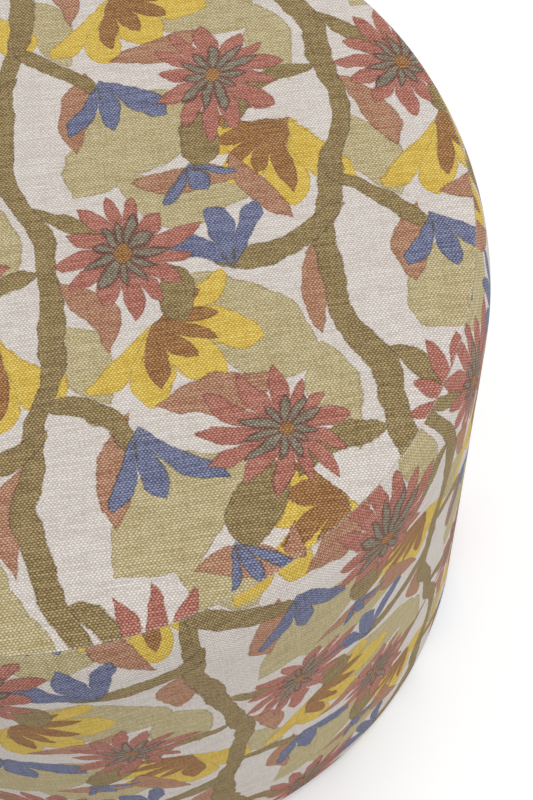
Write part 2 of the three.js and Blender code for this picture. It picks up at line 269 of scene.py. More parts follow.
def foot_point(turn):
    """The rounded foot, where the cover turns under the base board."""
    inwards = foot_round * (1 - math.cos(turn))
    return Vector((foot_radius - inwards, foot_top - foot_round * math.sin(turn)))


seam_point = Vector((seam_radius, seam_height))
crown_shares = [1 - (1 - t) ** 2 for t in steps(crown_steps)]
crown_line = [Vector((s * seam_radius, crown_height(s))) for s in crown_shares]
shoulder_line = [shoulder_point(t**shoulder_crowding) for t in steps(shoulder_steps)][1:]
side_line = [Vector((side_radius(h), h)) for h in steps(side_steps, shoulder_height, foot_top)][1:]
foot_line = [foot_point(t) for t in steps(foot_steps, 0, math.pi / 2)][1:]
hem_start = foot_radius - foot_round
hem_line = [Vector((r, hem_level)) for r in steps(hem_steps, hem_start, hem_radius)][1:]
cover_line = crown_line + shoulder_line + side_line + foot_line + hem_line


def sunk(line, depth):
    """A line moved square to itself into the drum, by a depth or by a function of the place."""
    moved = []
    for i, here in enumerate(line):
        along = (line[min(i + 1, len(line) - 1)] - line[max(i - 1, 0)]).normalized()
        inwards = Vector((along.y, -along.x))
        moved.append(here + inwards * (depth(here) if callable(depth) else depth))
    moved[0].x = 0 if line[0].x == 0 else moved[0].x
    return moved


def face_out(shape):
    """Turns the faces of a closed shape outwards: only then is its volume above nought."""
    bmesh.ops.recalc_face_normals(shape, faces=shape.faces)
    if shape.calc_volume(signed=True) < 0:
        bmesh.ops.reverse_faces(shape, faces=shape.faces)


def turned(name, outline, count):
    """A piece turned round the drum's axis from an outline that closes on itself or on the axis.

    An eighth of the round is spun, and what is there is then copied on three times.
    """
    shape = bmesh.new()
    corners = [shape.verts.new((p[0], 0, p[1])) for p in outline]
    pairs = list(zip(corners, corners[1:]))
    if outline[0][0] > 0 or outline[-1][0] > 0:
        pairs.append((corners[-1], corners[0]))
    edges = [shape.edges.new(pair) for pair in pairs]
    eighth = math.pi / 4
    bmesh.ops.spin(
        shape, geom=corners + edges, cent=(0, 0, 0), axis=(0, 0, 1), angle=eighth, steps=count // 8
    )
    for turn in (eighth, 2 * eighth, 4 * eighth):
        copy = bmesh.ops.duplicate(shape, geom=shape.verts[:] + shape.edges[:] + shape.faces[:])
        moved = [part for part in copy["geom"] if isinstance(part, bmesh.types.BMVert)]
        bmesh.ops.rotate(shape, verts=moved, cent=(0, 0, 0), matrix=Matrix.Rotation(turn, 3, "Z"))
    bmesh.ops.remove_doubles(shape, verts=shape.verts, dist=weld_distance)
    face_out(shape)
    return shown(name, shape)


def shown(name, shape):
    """Makes a finished shape a smooth mesh and puts its object in the scene."""
    for face in shape.faces:
        face.smooth = True
    mesh = bpy.data.meshes.new(name)
    shape.to_mesh(mesh)
    shape.free()
    piece = bpy.data.objects.new(name, mesh)
    bpy.context.scene.collection.objects.link(piece)
    return piece


def upholstery_foam():
    # cut open-cell foam: cream, matt, its cells about 0.6 mm across, drawn at 1.5 mm so that they show
    cell_width = 0.0015
    material, tree, surface = finish_material("upholstery_foam", 0.95)
    place = add(tree, "TexCoord").outputs["Object"]
    cells = add(tree, "TexVoronoi", {"Vector": place, "Scale": 1 / cell_width})
    ramp = add(tree, "ValToRGB", [cells])
    ramp.color_ramp.elements[0].color = srgb("C9B878")
    ramp.color_ramp.elements[1].color = srgb("F0E6BE")
    ramp.color_ramp.elements[1].position = 0.6
    tree.links.new(ramp.outputs[0], surface.inputs["Base Color"])
    bump = add(tree, "Bump", {"Height": cells, "Distance": 0.0004, "Strength": 0.8})
    tree.links.new(bump.outputs[0], surface.inputs["Normal"])
    return material


foam = upholstery_foam()
foam_line = sunk(cover_line, foam_depth)
side_foam_end = foot_radius - side_foam_reach
side_foam_outer = [p for p in foam_line if p.y <= seat_board_top and p.x > side_foam_end]
side_foam_inner = [
    Vector((side_radius(h) - foam_depth - side_foam_thickness, h))
    for h in (side_foam_outer[-1].y, seat_board_top)
]
side_foam = turned("side_padding", side_foam_outer + side_foam_inner, padding_steps)
side_foam.data.materials.append(foam)
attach(side_foam, "root")
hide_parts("side_foam")


# Seat foam: a disc of firmer foam on the seat board, 62 mm thick in the middle, its edge rounded
# over into the shoulder. It gives the top its crown and the cover its tight, smooth stretch.
seat_foam_gap = 0.0003
seat_foam_bottom = seat_board_top + seat_foam_gap
seat_foam_line = [p for p in foam_line if p.y > seat_foam_bottom]
seat_foam_base = [
    Vector((0, seat_foam_bottom)),
    Vector((side_radius(seat_foam_bottom) - foam_depth, seat_foam_bottom)),
]
seat_foam = turned("seat_padding", seat_foam_base + seat_foam_line[::-1], padding_steps)
seat_foam.data.materials.append(foam)
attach(seat_foam, "root")
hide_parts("seat_foam")


# Wadding: about 5 mm of white polyester, a cap over the top and shoulder and a band round the side
# that meets it edge to edge and tucks in at the foot. The seam's turned edges press it thinner.
wadding_depths = (0.0017, 0.0064)
pressed_depth = 0.0043
seam_allowance = 0.012
pressed_past_edges = 0.0008
pressed_reach = (0.0022, seam_allowance + pressed_past_edges)
press_slope = 1.2
wadding_cap_depth = 0.066
wadding_join = seam_height - wadding_cap_depth
wadding_gap = 0.0003
wadding_tuck = 0.018
wadding_end = foot_radius - wadding_tuck


def polyester_wadding():
    # spun crimped fibre: white, lofty, with a soft bloom and its strands in curls of 2.4 mm
    curl = 0.0024
    material, tree, surface = finish_material(
        "polyester_wadding", 1.0, sheen_weight=0.4, sheen_roughness=0.6
    )
    place = add(tree, "TexCoord").outputs["Object"]
    fibres = add(tree, "TexNoise", {"Vector": place, "Scale": 1 / curl, "Detail": 6.0, "Distortion": 1.5})
    ramp = add(tree, "ValToRGB", [fibres])
    ramp.color_ramp.elements[0].color = srgb("D9D6CC")
    ramp.color_ramp.elements[1].color = srgb("F7F5EF")
    tree.links.new(ramp.outputs[0], surface.inputs["Base Color"])
    bump = add(tree, "Bump", {"Height": fibres, "Distance": 0.0012, "Strength": 0.7})
    tree.links.new(bump.outputs[0], surface.inputs["Normal"])
    return material


def wadding_top_depth(place):
    """How deep the wadding's face lies: pressed in under the seam's edges, else near the cover."""
    away = (place - seam_point).length
    beyond = away - pressed_reach[place.x > seam_radius]
    return min(pressed_depth, max(wadding_depths[0], pressed_depth - press_slope * beyond))


wadding = polyester_wadding()
wadding_outer = sunk(cover_line, wadding_top_depth)
wadding_inner = sunk(cover_line, wadding_depths[1])


def wadding_piece(name, node, chosen):
    """The chosen stretch of the wadding, turned into a piece that stands for a node."""
    outer = [p for p in wadding_outer if chosen(p)]
    inner = [p for p in wadding_inner if chosen(p)]
    piece = turned(name, inner + outer[::-1], padding_steps)
    piece.data.materials.append(wadding)
    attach(piece, "root")
    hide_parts(node)


wadding_piece("wadding_top", "wadding_cap", lambda p: p.y > wadding_join)
wadding_piece(
    "wadding_side", "wadding_band", lambda p: p.y < wadding_join - wadding_gap and p.x > wadding_end
)


# Top panel: a disc of printed linen, stretched over the padding and sewn to the band face to face,
# 12 mm in from its edge. The seam turns inside, so only a fine line shows, with no piping.
linen_thickness = 0.001
groove_half_width = 0.00003
groove_depth = 0.00025
edge_turn = 0.00025
roll_steps = 4
roll_start = 0.3
flange_depth = 0.0028
flange_steps = 8
under_thinning = 4
cover_steps = 480
swell_height = 0.0004
swell_waves_per_m = (11, 26)
warp_direction = Vector((-0.151, -0.988)).normalized()
weft_direction = Vector((-warp_direction.y, warp_direction.x))

# The weave: threads a little unevenly spaced, each knot with a height of its own, and slubs, the
# long stretches where a thread is thicker or thinner. A thread's slubs are drawn so far apart in the
# noise that they aren't like the next one's, and the noise mostly stays within its span.
warp_pitch_mm = 0.97
weft_pitch_mm = 1.234
spacing_waves_per_mm = 0.22
spacing_drift_mm = 0.3
crossing_rise = 0.37
thread_roundness = 0.7
knot_roundness = 0.85
knot_waves_per_thread = 0.9
knot_heights_from_to = (0.5, 1.5)
slub_waves_per_thread = 0.06
weft_slubs_from_to = (0.74, 1.28)
warp_slubs_from_to = (0.86, 1.15)
threads_apart = 7.618
noise_span = (0.3, 0.7)

# The print: its repeat, its soft edges, how far one ink laps another, and the weave's painted shade in
# its gaps and painted highlight with wear on its knots, which are paler still along the seam's fold.
repeat_mm = (168, 224)
outline_waves_mm = ((45.45, 20.0), (9.09, 3.2), (1.667, 1.1))
ink_edge_mm = 0.4
line_half_mm = 0.6
lap_mm = 1.2
lap_gamma = 0.5
# painted shade darkens the weave's gaps; painted highlight and wear lighten its knots
gap_shade_gamma = 2.55
gap_shade_lift = 1.07
knot_highlight_lift = 1.35
knot_wear_and_highlight = 0.2
fold_paleness = 0.5
fold_reach = 0.0012
worn_and_lit_thread = srgb("EFEADF")

linen_inks = {
    "ground": srgb("DED8D3"),
    "sage": srgb("C8BC93"),
    "olive": srgb("9F8747"),
    "yellow": srgb("DDC546"),
    "ochre": srgb("AA7400"),
    "red": srgb("BC7763"),
    "dark red": srgb("7F3A24"),
    "taupe": srgb("928771"),
    "blue": srgb("737BA1"),
    "tan": srgb("BC8D6A"),
}


def motif(name, sizes, outline):
    """A group that says how far inside a motif's outline a place lies, in millimetres."""
    group = bpy.data.node_groups.new(name, "ShaderNodeTree")
    group.interface.new_socket("Place", in_out="INPUT", socket_type="NodeSocketVector")
    for size in sizes:
        group.interface.new_socket(size, in_out="INPUT", socket_type="NodeSocketFloat")
    group.interface.new_socket("Inside", in_out="OUTPUT", socket_type="NodeSocketFloat")
    given = add(group, "NodeGroupInput")
    add(group, "NodeGroupOutput", [outline(group, *list(given.outputs)[:-1])])
    return group


def leaf_outline(group, place, length, width, fullness, bend):
    """A blade that tapers to both ends and bows to one side; a high fullness rounds it."""
    part = add(group, "SeparateXYZ", [place])
    along = add(group, "Math", [part.outputs[0]], operation="ABSOLUTE")
    bow = add(group, "Math", [along, along], operation="MULTIPLY")
    across = add(group, "Math", [bow, bend, part.outputs[1]], operation="MULTIPLY_ADD")
    off_middle = add(group, "Math", [across], operation="ABSOLUTE")
    share = add(group, "Math", [along, length], operation="DIVIDE")
    taper = add(group, "Math", [share, fullness], operation="POWER")
    width_share = add(group, "Math", [1.0, taper], operation="SUBTRACT")
    half = add(group, "Math", [width_share, width], operation="MULTIPLY")
    return add(group, "Math", [half, off_middle], operation="SUBTRACT")


def petals_outline(group, place, radius, petals, fullness, half_turn, uneven, start):
    """Petals set round a point, of uneven length, all round it or in a fan on the X axis."""
    eye_mm = 1.0
    half_petal = 0.5
    petal_overlap = 0.04
    part = add(group, "SeparateXYZ", [place])
    turn = add(group, "Math", [part.outputs[1], part.outputs[0]], operation="ARCTAN2")
    length = add(group, "VectorMath", [place], operation="LENGTH").outputs["Value"]
    away = add(group, "Math", [length, eye_mm], operation="MAXIMUM")
    per_turn = add(group, "Math", [petals, 0.5 / math.pi], operation="MULTIPLY")
    phase = add(group, "Math", [turn, per_turn, start], operation="MULTIPLY_ADD")

    # the petals are counted round the point, and each is shorter by a chance of its own
    whole = add(group, "Math", [phase], operation="FLOOR")
    count = add(group, "Math", [whole, petals], operation="FLOORED_MODULO")
    lot = add(group, "Math", [count, start], operation="ADD")
    chance = add(group, "TexWhiteNoise", {"W": lot}, noise_dimensions="1D").outputs["Value"]
    short = add(group, "Math", [chance, uneven], operation="MULTIPLY")
    length_share = add(group, "Math", [1.0, short], operation="SUBTRACT")
    tip = add(group, "Math", [radius, length_share], operation="MULTIPLY")

    # a petal fills its whole sector near the point and narrows to nothing just past its tip
    reach = add(group, "Math", [away, tip], operation="DIVIDE")
    taper = add(group, "Math", [reach, fullness], operation="POWER")
    half = add(group, "Math", [taper, -half_petal, half_petal + petal_overlap], operation="MULTIPLY_ADD")
    through = add(group, "Math", [phase], operation="FRACT")
    share = add(group, "Math", [through, half_petal], operation="SUBTRACT")
    off_middle = add(group, "Math", [share], operation="ABSOLUTE")
    room = add(group, "Math", [half, off_middle], operation="SUBTRACT")
    arc = add(group, "Math", [away, per_turn], operation="DIVIDE")
    petal = add(group, "Math", [room, arc], operation="MULTIPLY")

    # a fan ends where its half turn does
    turned_by = add(group, "Math", [turn], operation="ABSOLUTE")
    turn_left = add(group, "Math", [half_turn, turned_by], operation="SUBTRACT")
    side = add(group, "Math", [turn_left, away], operation="MULTIPLY")
    return add(group, "Math", [petal, side], operation="MINIMUM")


def stem_outline(group, place, half_width, sway):
    """A waved upright stem that runs through the whole cloth."""
    part = add(group, "SeparateXYZ", [place])
    turn = add(group, "Math", [part.outputs[1], 2 * math.pi / repeat_mm[1]], operation="MULTIPLY")
    wave = add(group, "Math", [turn], operation="SINE")
    lean = add(group, "Math", [wave, sway], operation="MULTIPLY")
    across = add(group, "Math", [part.outputs[0], lean], operation="SUBTRACT")
    off_middle = add(group, "Math", [across], operation="ABSOLUTE")
    return add(group, "Math", [half_width, off_middle], operation="SUBTRACT")


leaf = motif("leaf", ("Length", "Width", "Fullness", "Bend"), leaf_outline)
petals = motif("petals", ("Radius", "Petals", "Fullness", "Half turn", "Uneven", "Start"), petals_outline)
stem = motif("stem", ("Half width", "Sway"), stem_outline)

# The motifs. Each entry is a motif's place in the repeat along the weft and along the warp, in
# millimetres, its turn in degrees, and then its sizes in the order in which its group names them.
sage_leaves = [
    (104, 84, 34, 48, 27, 2.4, 0.002), (58, 182, -38, 46, 26, 2.4, -0.003), (84, 2, 20, 34, 18, 2.2, 0.003),
    (146, 128, 82, 32, 15, 2.2, 0.004), (22, 96, 64, 30, 14, 2.2, -0.004),
]
yellow_fans = [(58, 78, 52, 60, 9, 6, 1.5, 0.16, 0.5), (146, 186, 118, 58, 9, 6, 1.45, 0.18, 0.1)]
fan_shades = [(58, 78, 30, 50, 13, 3.4, 1.2, 0.35, 0.6), (146, 186, 140, 48, 13, 3.4, 1.1, 0.35, 0.2)]
tan_leaves = [
    (88, 124, -18, 31, 9.5, 2, 0.006), (30, 66, 70, 27, 8.5, 2, -0.008), (122, 2, 62, 29, 9, 2, 0.008),
    (30, 158, 100, 29, 9, 2, 0.006), (92, 212, 10, 29, 9.5, 2, -0.006), (146, 62, 100, 29, 9, 2, 0.008),
]
branches = [
    (34, 18, 24, 36, 5.5, 6, 0.006), (136, 40, 160, 40, 5.5, 6, -0.005), (26, 128, 40, 32, 5, 6, -0.006),
    (140, 158, 150, 34, 5, 6, 0.006), (74, 62, 80, 20, 12, 3, 0), (98, 186, 100, 20, 12, 3, 0),
]
blue_cups = [
    (108, 50, 250, 48, 9, 3, 0.85, 0.2, 0.5), (46, 138, 78, 50, 9, 3, 0.85, 0.2, 0.5),
    (88, 200, 70, 33, 9, 3, 0.75, 0.2, 0.5),
]
red_daisies = [(50, 32, 10, 42, 13, 3.6, 4, 0.22, 0.5), (114, 148, 40, 42, 13, 3.6, 4, 0.24, 0.2)]
daisy_hearts = [(50, 32, 30, 26, 11, 2.4, 4, 0.4, 0.5), (114, 148, 70, 26, 11, 2.4, 4, 0.4, 0.2)]
daisy_eyes = [(50, 32, 0, 5, 5, 3, 0), (114, 148, 0, 5, 5, 3, 0)]
stems = [(0, 0, 0, 6.4, 11)]

# The inks in the order of printing, each with its motifs; a second ink draws their outlines.
print_layers = [
    ("sage", leaf, sage_leaves, None),
    ("yellow", petals, yellow_fans, None),
    ("ochre", petals, fan_shades, None),
    ("tan", leaf, tan_leaves, None),
    ("olive", stem, stems, None),
    ("olive", leaf, branches, None),
    ("blue", petals, blue_cups, None),
    ("red", petals, red_daisies, None),
    ("taupe", petals, daisy_hearts, "dark red"),
    ("ochre", leaf, daisy_eyes, None),
]


def printed_linen():
    # heavy plain-weave linen, washed and printed, matt and dry: painted highlight and wear on raised knots,
    # painted shade in gaps
    material, tree, surface = finish_material(
        "printed_linen", 0.9, sheen_weight=0.03, sheen_roughness=0.5
    )
    surface.inputs["Specular IOR Level"].default_value = 0.2
    cloth = add(tree, "UVMap", uv_map="cloth")
    place = add(tree, "VectorMath", {0: cloth, "Scale": 1000.0}, operation="SCALE")
    width, height = repeat_mm

    # hand-cut outlines: the place wanders slowly, wavers, and the ink creeps along the threads
    drawn = place
    for wave_mm, reach_mm in outline_waves_mm:
        wander = add(tree, "TexNoise", {"Vector": place, "Scale": 1 / wave_mm, "Detail": 0.0})
        shift = add(tree, "VectorMath", [wander.outputs["Color"], (0.5, 0.5, 0.5)], operation="SUBTRACT")
        drawn = add(tree, "VectorMath", [shift, (reach_mm, reach_mm, 0), drawn], operation="MULTIPLY_ADD")

    # half-drop lattice: whole numbers are the copies of the repeat, and each column of them starts
    # half a repeat further along the warp
    column = add(tree, "VectorMath", [drawn, (1 / width, 0, 0)], operation="DOT_PRODUCT")
    row = add(tree, "VectorMath", [drawn, (-0.5 / width, 1 / height, 0)], operation="DOT_PRODUCT")
    lattice = add(tree, "CombineXYZ", [column.outputs["Value"], row.outputs["Value"]])

    def near(u, v, turn):
        """Where a point lies from a motif's nearest copy, in millimetres along the motif's axes."""
        c, s = math.cos(math.radians(turn)), math.sin(math.radians(turn))
        middle = (u / width, v / height - u / width / 2, 0)
        along = (width * c + height / 2 * s, height * s, 0)
        across = (height / 2 * c - width * s, height * c, 0)
        away = add(tree, "VectorMath", [lattice, middle], operation="SUBTRACT")
        cell = add(tree, "VectorMath", [away, (0.5, 0.5, 0.5), (-0.5, -0.5, -0.5)], operation="WRAP")
        x = add(tree, "VectorMath", [cell, along], operation="DOT_PRODUCT")
        y = add(tree, "VectorMath", [cell, across], operation="DOT_PRODUCT")
        return add(tree, "CombineXYZ", [x.outputs["Value"], y.outputs["Value"]])

    def over(below, ink, where):
        """One colour laid over another where a share says so."""
        return add(tree, "Mix", {0: where, 6: below, 7: ink}, data_type="RGBA").outputs[2]

    def within(inside):
        """The share of ink at a distance inside an outline, with a soft edge."""
        edge = {"Value": inside, "From Min": -ink_edge_mm, "From Max": ink_edge_mm}
        return add(tree, "MapRange", edge)

    # each ink laps the ones before it by about a millimetre, and is darker there
    colour = add(tree, "RGB").outputs[0]
    colour.default_value = linen_inks["ground"]
    for ink, group, spots, line in print_layers:
        inside = None
        for spot in spots:
            found = add(tree, "Group", [near(*spot[:3]), *map(float, spot[3:])], node_tree=group)
            inside = add(tree, "Math", [inside, found], operation="MAXIMUM") if inside else found
        below = add(tree, "Gamma", {"Color": colour, "Gamma": lap_gamma})
        lap = add(tree, "MapRange", {"Value": inside, "From Min": lap_mm, "From Max": lap_mm / 2})
        doubled = {0: lap, 6: linen_inks[ink], 7: below}
        inks = add(tree, "Mix", doubled, data_type="RGBA", blend_type="MULTIPLY").outputs[2]
        colour = over(colour, inks, within(inside))
        if line:
            edge = add(tree, "Math", [inside], operation="ABSOLUTE")
            outline = add(tree, "Math", [line_half_mm, edge], operation="SUBTRACT")
            colour = over(colour, linen_inks[line], within(outline))

    # plain weave: the weft goes over and under the warp by turns, and its knots are the long ones
    spacing = {"Vector": place, "Scale": spacing_waves_per_mm, "Detail": 2.0}
    jitter = add(tree, "TexNoise", spacing).outputs["Color"]
    drift = (spacing_drift_mm, spacing_drift_mm, 0)
    uneven = add(tree, "VectorMath", [jitter, drift, place], operation="MULTIPLY_ADD")
    pitches = (1 / warp_pitch_mm, 1 / weft_pitch_mm, 0)
    threads = add(tree, "VectorMath", [uneven, pitches], operation="MULTIPLY")
    half_turns = add(tree, "VectorMath", {0: threads, "Scale": math.pi}, operation="SCALE")
    swing = add(tree, "SeparateXYZ", [add(tree, "VectorMath", [half_turns], operation="COSINE")])
    side = add(tree, "Math", [swing.outputs[1]], operation="SIGN")
    rise = add(tree, "Math", [swing.outputs[0], side], operation="MULTIPLY")
    level = add(tree, "Math", [rise, crossing_rise, 1 - crossing_rise], operation="MULTIPLY_ADD")
    beside_middle = add(tree, "Math", [swing.outputs[1]], operation="ABSOLUTE")
    round_thread = add(tree, "Math", [beside_middle, thread_roundness], operation="POWER")
    knot = add(tree, "Math", [round_thread, level], operation="MULTIPLY")

    # the threads are counted, so that each can differ from the next
    nearest = add(tree, "VectorMath", [threads, (0.5, 0.5, 0)], operation="ADD")
    counted = add(tree, "VectorMath", [nearest], operation="FLOOR")

    def spun(waves, apart, from_to):
        """Unevenness of spun thread: a factor that wanders along it and starts afresh on the next."""
        along = add(tree, "VectorMath", [threads, waves], operation="MULTIPLY")
        run = add(tree, "VectorMath", [counted, apart, along], operation="MULTIPLY_ADD")
        wander = add(tree, "TexNoise", {"Vector": run, "Scale": 1.0, "Detail": 1.0})
        spread = {"Value": wander, "From Min": noise_span[0], "From Max": noise_span[1]}
        return add(tree, "MapRange", {**spread, "To Min": from_to[0], "To Max": from_to[1]})

    # every knot has a height of its own, and the slubs of a thread stand higher or lower
    knot_waves = (knot_waves_per_thread, knot_waves_per_thread, 0)
    knot_heights = spun(knot_waves, (0, 0, 0), knot_heights_from_to)
    weft_slubs = spun((slub_waves_per_thread, 0, 0), (0, threads_apart, 0), weft_slubs_from_to)
    warp_slubs = spun((0, slub_waves_per_thread, 0), (threads_apart, 0, 0), warp_slubs_from_to)
    uneven_knot = add(tree, "Math", [knot, knot_heights], operation="MULTIPLY")
    slubs = add(tree, "Math", [weft_slubs, warp_slubs], operation="MULTIPLY")
    rounded = add(tree, "Math", [uneven_knot, knot_roundness], operation="POWER")
    # the raised share sets how much of the knot's painted highlight shows over the gap's painted shade
    raised = add(tree, "Math", [rounded, slubs], operation="MULTIPLY", use_clamp=True)

    # how far a place lies from the seam's fold, by its distance from the axis and its height
    solid = add(tree, "TexCoord").outputs["Object"]
    level_place = add(tree, "VectorMath", [solid, (1, 1, 0)], operation="MULTIPLY")
    from_axis = add(tree, "VectorMath", [level_place], operation="LENGTH").outputs["Value"]
    height_up = add(tree, "SeparateXYZ", [solid]).outputs["Z"]
    section = add(tree, "CombineXYZ", [from_axis, height_up])
    fold = add(tree, "VectorMath", [section, (*seam_point, 0)], operation="DISTANCE").outputs["Value"]
    # the knots turn paler, towards the pale thread colour, close to the seam's fold
    near_fold = {"Value": fold, "From Min": fold_reach, "From Max": fold_reach / 3}
    pale_knot_share = add(tree, "MapRange", {**near_fold, "To Min": knot_wear_and_highlight, "To Max": fold_paleness})

    # painted shade darkens the gaps; painted highlight and wear lighten the knots, which are paler still
    # near the fold
    shaded_gap_ink = add(tree, "Gamma", {"Color": colour, "Gamma": gap_shade_gamma})
    shaded_gap = add(tree, "VectorMath", {0: shaded_gap_ink, "Scale": gap_shade_lift}, operation="SCALE").outputs[0]
    lit = add(tree, "VectorMath", {0: colour, "Scale": knot_highlight_lift}, operation="SCALE").outputs[0]
    worn_lit_knot = over(lit, worn_and_lit_thread, pale_knot_share)
    woven = over(shaded_gap, worn_lit_knot, raised)
    tree.links.new(woven, surface.inputs["Base Color"])
    bump = add(tree, "Bump", {"Height": rounded, "Distance": 0.0002, "Strength": 0.25})
    tree.links.new(bump.outputs[0], surface.inputs["Normal"])
    return material


def lay_cloth(piece, spot):
    """Writes where each corner lies on the cloth, in metres along the weft and along the warp."""
    mesh = piece.data
    corners = mesh.uv_layers.new(name="cloth").data
    for face in mesh.polygons:
        for corner in face.loop_indices:
            vertex = mesh.vertices[mesh.loops[corner].vertex_index]
            corners[corner].uv = spot(vertex.co, face.center)


def settle(piece):
    """Gives stretched cloth the slight unevenness of the padding below it."""
    broad, fine = swell_waves_per_m
    for vertex in piece.data.vertices:
        swell = noise.noise(vertex.co * broad) + 0.5 * noise.noise(vertex.co * fine)
        outward = Vector((vertex.co.x, vertex.co.y, 0)).normalized()
        top_share = min(1, max(0, (vertex.co.z - shoulder_height) / (seam_height - shoulder_height)))
        vertex.co += (outward * (1 - top_share) + Vector((0, 0, top_share))) * swell * swell_height


def on_line(line, distance):
    """The point that far along a line from its start."""
    for a, b in zip(line, line[1:]):
        step = (b - a).length
        if distance <= step:
            return a.lerp(b, distance / step)
        distance -= step
    return line[-1]


allowance_line = [
    on_line([seam_point] + shoulder_line, seam_allowance * t) for t in steps(flange_steps)
]
panel_edge = seam_radius - groove_half_width
panel_leg = panel_edge - linen_thickness
panel_roll = [
    Vector((
        panel_edge - edge_turn * (1 - math.sin(t)),
        crown_height(1) - groove_depth * (1 - math.cos(t)),
    ))
    for t in steps(roll_steps, roll_start, math.pi / 2)
]
panel_outer = [p for p in crown_line if p.x < seam_radius - edge_turn] + panel_roll
panel_thinned = [p for p in crown_line if p.x < seam_radius - 2 * edge_turn][::under_thinning]
panel_under = sunk(panel_thinned, linen_thickness)
flange_top = [p for p in sunk(allowance_line, flange_depth) if p.x > panel_edge]
flange_under = [p for p in sunk(allowance_line, flange_depth + linen_thickness) if p.x > panel_leg]
panel_outline = (
    panel_outer
    + [Vector((panel_edge, flange_top[0].y))]
    + flange_top
    + flange_under[::-1]
    + [Vector((panel_leg, panel_under[-1].y))]
    + panel_under[::-1]
)
top_panel = turned("top_panel", panel_outline, cover_steps)
linen = printed_linen()
top_panel.data.materials.append(linen)
lay_cloth(top_panel, lambda p, _: (weft_direction.dot(p.xy), warp_direction.dot(p.xy)))
settle(top_panel)
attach(top_panel, "root")
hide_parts("top_cover")


# Band: a strip of the same linen, sewn end to end at the back and to the top panel above. It is
# pulled down over the shoulder and the flared side, and its hem is pleated and stapled underneath.
lip_depth = 0.0022
band_edge = seam_radius + groove_half_width
band_radius = (shoulder_radius + foot_radius) / 2
roll_slope = 0.5
roll_gap = 0.0002
inner_thinning = 3
pleats = 48
pleat_start = foot_radius - 0.005
pleat_full = foot_radius - 0.013
pleat_reach_up = 0.003
pleat_waver = 0.35
pleat_waves_per_m = 9
pleat_slope = 1.6
back_from = 0.2
join_loops = (-0.0012, -0.0004, 0.0, 0.0004, 0.0012)
join_snap = 0.00002
join_reach = 0.0005
join_depth = 0.0007

band_roll = [
    Vector((
        band_edge + edge_turn * (1 - math.sin(t)),
        seam_height - groove_depth * (1 - math.cos(t)) - edge_turn * (1 - math.sin(t)) * roll_slope,
    ))
    for t in steps(roll_steps, math.pi / 2, roll_start)
]
band_outer = band_roll + [p for p in shoulder_line if p.x > band_roll[-1].x + roll_gap]
band_outer += side_line + foot_line + hem_line
band_face = shoulder_line + side_line + foot_line + hem_line
band_inner = sunk(band_face[::inner_thinning], linen_thickness)
band_inner = [p for p in band_inner if p.y < allowance_line[-1].y]
band_lip = [p for p in sunk(allowance_line, lip_depth) if p.x > band_edge]
hem_end = hem_line[-1] + Vector((0, linen_thickness))
band_outline = band_outer + [hem_end] + band_inner[::-1] + band_lip[::-1]
side_band = turned("side_band", band_outline, cover_steps)
side_band.data.materials.append(linen)


def open_join(piece):
    """Cuts loops beside the band's upright join at the back and sinks them into a fine line."""
    shape = bmesh.new()
    shape.from_mesh(piece.data)
    for x in join_loops:
        back = [face for face in shape.faces if face.calc_center_median().y > back_from]
        geom = back + [e for f in back for e in f.edges] + [v for f in back for v in f.verts]
        geom = list(dict.fromkeys(geom))
        bmesh.ops.bisect_plane(shape, geom=geom, dist=join_snap, plane_co=(x, 0, 0), plane_no=(1, 0, 0))
    for vertex in shape.verts:
        below_seam = vertex.co.z < seam_height - edge_turn
        if vertex.co.y > back_from and abs(vertex.co.x) < join_reach and below_seam:
            vertex.co.y -= join_depth * (1 - abs(vertex.co.x) / join_reach)
    face_out(shape)
    shape.to_mesh(piece.data)
    shape.free()


def pleat_hem(piece):
    """Lays the fullness under the foot in small pleats, each lapped over the next."""
    for vertex in piece.data.vertices:
        reach = math.hypot(vertex.co.x, vertex.co.y)
        if vertex.co.z > hem_level + pleat_reach_up or reach > pleat_start:
            continue
        turn = math.atan2(vertex.co.y, vertex.co.x) / (2 * math.pi) * pleats
        waver = noise.noise(Vector((vertex.co.x, vertex.co.y, 0)) * pleat_waves_per_m)
        lap = (turn + pleat_waver * waver) % 1
        fade = min(1, (pleat_start - reach) / (pleat_start - pleat_full))
        vertex.co.z -= pleat_depth * fade * max(0, 1 - pleat_slope * lap)


def band_spot(place, middle):
    """Along the band from its join at the back, and down it from the seam and round the foot.

    The face's middle tells on which side of the join a corner lies.
    """
    turn = (math.atan2(middle.y, middle.x) - math.pi / 2) % (2 * math.pi)
    own = (math.atan2(place.y, place.x) - math.pi / 2) % (2 * math.pi)
    own += 2 * math.pi * round((turn - own) / (2 * math.pi))
    if place.z > foot_top:
        return own * band_radius, seam_height - place.z
    beyond = math.hypot(place.x, place.y) - (foot_radius - foot_round)
    bent = min(math.pi / 2, math.atan2(foot_top - place.z, beyond))
    return own * band_radius, seam_height - foot_top + foot_round * bent + max(0, -beyond)


open_join(side_band)
lay_cloth(side_band, band_spot)
pleat_hem(side_band)
settle(side_band)
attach(side_band, "root")
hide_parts("side_cover")


# Dust cloth: a disc of black non-woven cloth over the hem's raw edge, its own edge turned in.
# Thin matted fibre with an embossed grid of fine dots.
def matted_cloth():
    # bonded polypropylene fibre: dull black, its grid of pressed dots 2.5 mm apart
    dot_pitch = 0.0025
    material, tree, surface = finish_material("matted_dust_cloth", 0.95, sheen_weight=0.3)
    place = add(tree, "TexCoord").outputs["Object"]
    dots = add(tree, "TexVoronoi", {"Vector": place, "Scale": 1 / dot_pitch, "Randomness": 0.1})
    ramp = add(tree, "ValToRGB", [dots])
    ramp.color_ramp.elements[0].color = srgb("151516")
    ramp.color_ramp.elements[1].color = srgb("2C2C2E")
    tree.links.new(ramp.outputs[0], surface.inputs["Base Color"])
    bump = add(tree, "Bump", {"Height": dots, "Distance": 0.0002, "Strength": 0.7})
    tree.links.new(bump.outputs[0], surface.inputs["Normal"])
    return material


